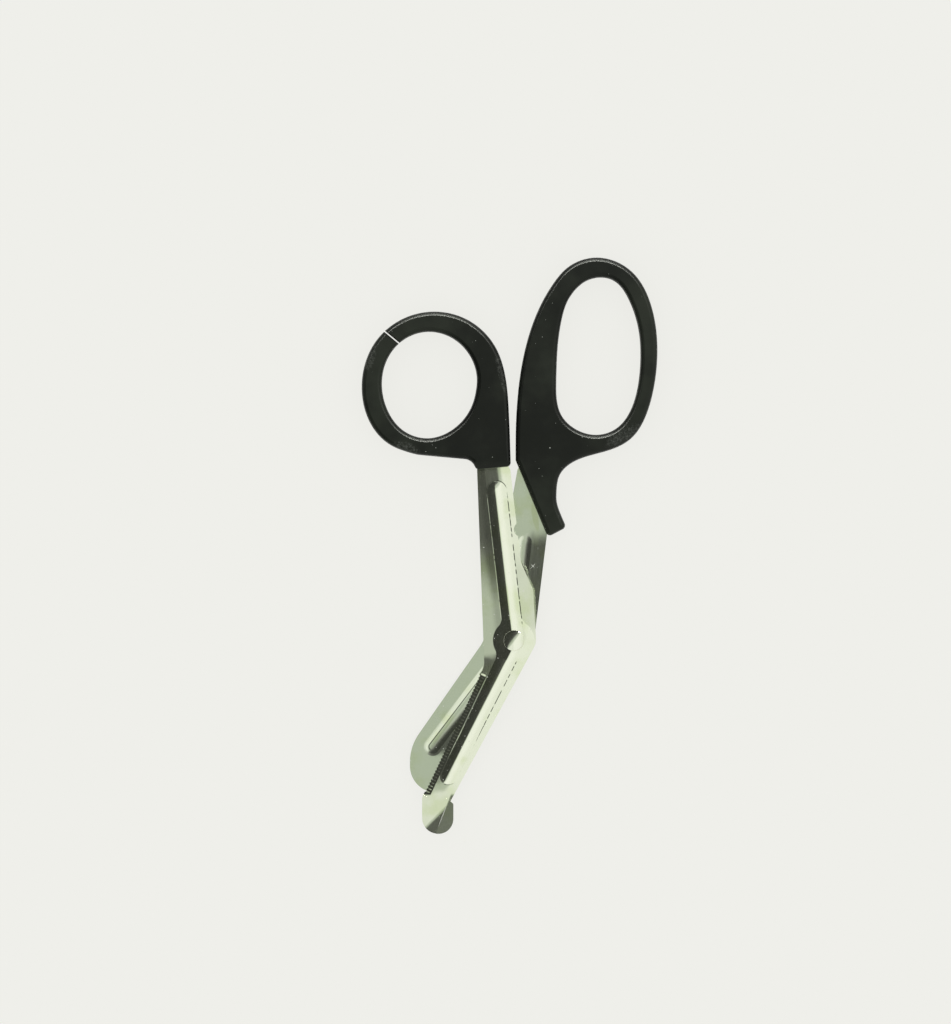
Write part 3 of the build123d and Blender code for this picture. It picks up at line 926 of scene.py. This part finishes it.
class SCISSORS_OT_rivet(bpy.types.Operator):
    """Makes the domed rivet and dresses its washer"""

    bl_idname = "scissors.rivet"
    bl_label = "Rivet and washer"

    def execute(self, context):
        sizes = context.scene.scissors_sizes
        # Level leans, so that the head's own round does the shading
        still = [(0.0, 0.5), (1.0, 0.5)]
        steel = stainless(
            "Polished stainless, rivet", "#E6E8DC",
            (((0.0, 0.0), (0.0, 9.0), 9.0, 0.0, 1.0), ((0.0, 0.0), (0.0, -9.0), 9.0, 0.0, 1.0)),
            (still, still, still, still), (), press=1.0, swing=-0.7, front=False,
        )
        top = RIVET_HIGH.z
        head = RIVET_HIGH.x
        seat = top - sizes.head_height
        tail, shank, washer_foot = 3.1 * MM, 2.0 * MM, 0.85 * MM
        # The head's rim stands upright before the dome, a quarter of an ellipse, begins
        rim = 0.25 * MM
        turn = np.linspace(0, np.pi / 2, 17)
        rise = sizes.head_height - rim
        dome = [(head * math.cos(a), seat + rim + rise * math.sin(a)) for a in turn[:-1]]
        profile = [
            (0, 0), (tail - 0.3 * MM, 0), (tail - 0.1 * MM, 0.08 * MM), (tail, 0.3 * MM),
            (tail, washer_foot), (shank, washer_foot), (shank, seat), (head, seat),
        ] + dome + [(0, top)]
        piece = revolved("pivot_rivet_head", profile, 64)
        dress(piece, "pivot_rivet", "front_half", steel)
        piece = merged_copy("rivet_washer", "pivot_washer", ROUND_SHARP)
        dress(piece, "rivet_washer", "front_half", steel)
        return {"FINISHED"}


class SCISSORS_OT_stage(bpy.types.Operator):
    """Makes the floor, the light and the camera"""

    bl_idname = "scissors.stage"
    bl_label = "Stage"

    def execute(self, context):
        scene = context.scene
        sizes = scene.scissors_sizes
        scene.view_settings.view_transform = "Standard"

        half, own_light = 3.0, 0.92
        mesh = bpy.data.meshes.new("table")
        mesh.from_pydata(
            [(-half, -half, 0), (half, -half, 0), (half, half, 0), (-half, half, 0)],
            [], [(0, 1, 2, 3)],
        )
        floor = bpy.data.objects.new("table", mesh)
        scene.collection.objects.link(floor)
        material, tree = new_material("Matt white table")
        # A matt painted board: most of its light, to the eye, is its own, so the shadows stay pale
        color = tuple(scene.scissors_colors.floor)
        lit = add_node(tree, "ShaderNodeBsdfDiffuse", values={"Color": color})
        glow = add_node(tree, "ShaderNodeEmission", values={"Color": color})
        path = add_node(tree, "ShaderNodeLightPath")
        share = add_node(
            tree, "ShaderNodeMath", {"operation": "MULTIPLY"}, {1: own_light},
            {0: path.outputs["Is Camera Ray"]},
        )
        shader = add_node(
            tree, "ShaderNodeMixShader",
            links={0: share.outputs[0], 1: lit.outputs[0], 2: glow.outputs[0]},
        )
        add_node(tree, "ShaderNodeOutputMaterial", links={"Surface": shader.outputs[0]})
        mesh.materials.append(material)

        world = bpy.data.worlds.new("Studio")
        scene.world = world
        world.use_nodes = True
        tree = world.node_tree
        tree.nodes.clear()
        direction = add_node(tree, "ShaderNodeTexCoord").outputs["Generated"]
        # What glossy surfaces mirror is bright towards +X and slightly towards -Y, and dark the
        # other way, turning near the zenith. All else is lit by plain white
        slope = add_node(
            tree, "ShaderNodeVectorMath", {"operation": "DOT_PRODUCT"},
            {1: (0.94, -0.34, 0.0)}, {0: direction},
        )
        across = add_node(
            tree, "ShaderNodeMapRange", values={"From Min": -1.0, "From Max": 1.0},
            links={"Value": slope.outputs["Value"]},
        )
        black, dark, middle, bright = [
            linear(code) for code in ("#353732", "#4F514C", "#BBC4B4", "#F7FBF0")
        ]
        studio = stops(tree, across.outputs[0], [
            (0.0, black), (0.33, black), (0.352, dark), (0.385, dark), (0.445, middle),
            (0.5, middle), (0.555, bright), (1.0, bright),
        ])
        path = add_node(tree, "ShaderNodeLightPath")
        light = add_node(
            tree, "ShaderNodeMix", {"data_type": "RGBA"}, {6: (1.0, 1.0, 1.0, 1.0)},
            {0: path.outputs["Is Glossy Ray"], 7: studio},
        )
        shader = add_node(tree, "ShaderNodeBackground", links={"Color": light.outputs[2]})
        add_node(tree, "ShaderNodeOutputWorld", links={"Surface": shader.outputs[0]})

        # Strips behind the loops, both aimed between them and the pivot, draw the thin lines along
        # their rims
        aimed_at = Vector((0.0, 0.04, 0.0))
        for name, place, length, width, power in (
            ("strip_high", (0.0, 0.7, 1.1), 0.9, 0.2, 42.0),
            ("strip_low", (0.0, 1.2, 0.5), 0.9, 0.16, 18.0),
        ):
            data = bpy.data.lights.new(name, "AREA")
            data.shape = "RECTANGLE"
            data.size = length
            data.size_y = width
            data.energy = power
            data.color = linear("#F1F4EA")[:3]
            lamp = bpy.data.objects.new(name, data)
            lamp.location = place
            lamp.visible_diffuse = False
            aim = aimed_at - Vector(place)
            lamp.rotation_euler = aim.to_track_quat("-Z", "Y").to_euler()
            scene.collection.objects.link(lamp)

        data = bpy.data.cameras.new("camera")
        data.lens = sizes.lens
        data.sensor_width = SENSOR
        camera = bpy.data.objects.new("camera", data)
        camera.location = (
            VIEW_CENTER[0], VIEW_CENTER[1], VIEW_CENTER[2] + VIEW_HEIGHT * sizes.lens / SENSOR
        )
        scene.collection.objects.link(camera)
        scene.camera = camera
        return {"FINISHED"}


class SCISSORS_PT_panel(bpy.types.Panel):
    """Lists the steps that build the scissors"""

    bl_label = "Bandage scissors"
    bl_idname = "SCISSORS_PT_panel"
    bl_space_type = "VIEW_3D"
    bl_region_type = "UI"
    bl_category = "Scissors"

    def draw(self, context):
        for operator in OPERATORS:
            self.layout.operator(operator.bl_idname)
        self.layout.prop(context.scene.scissors_sizes, "head_height")
        self.layout.prop(context.scene.scissors_sizes, "lens")
        self.layout.prop(context.scene.scissors_colors, "floor")


OPERATORS = (SCISSORS_OT_halves, SCISSORS_OT_handles, SCISSORS_OT_rivet, SCISSORS_OT_stage)
CLASSES = (ScissorsColors, ScissorsSizes) + OPERATORS + (SCISSORS_PT_panel,)


def register():
    """Registers the classes and hangs the settings on the scene."""
    for item in CLASSES:
        bpy.utils.register_class(item)
    bpy.types.Scene.scissors_colors = PointerProperty(type=ScissorsColors)
    bpy.types.Scene.scissors_sizes = PointerProperty(type=ScissorsSizes)


def unregister():
    """Takes the settings and the classes away again."""
    del bpy.types.Scene.scissors_sizes
    del bpy.types.Scene.scissors_colors
    for item in reversed(CLASSES):
        bpy.utils.unregister_class(item)


def main():
    """Builds everything in order."""
    register()
    bpy.ops.scissors.halves()
    bpy.ops.scissors.handles()
    bpy.ops.scissors.rivet()
    bpy.ops.scissors.stage()


if __name__ == "__main__":
    main()
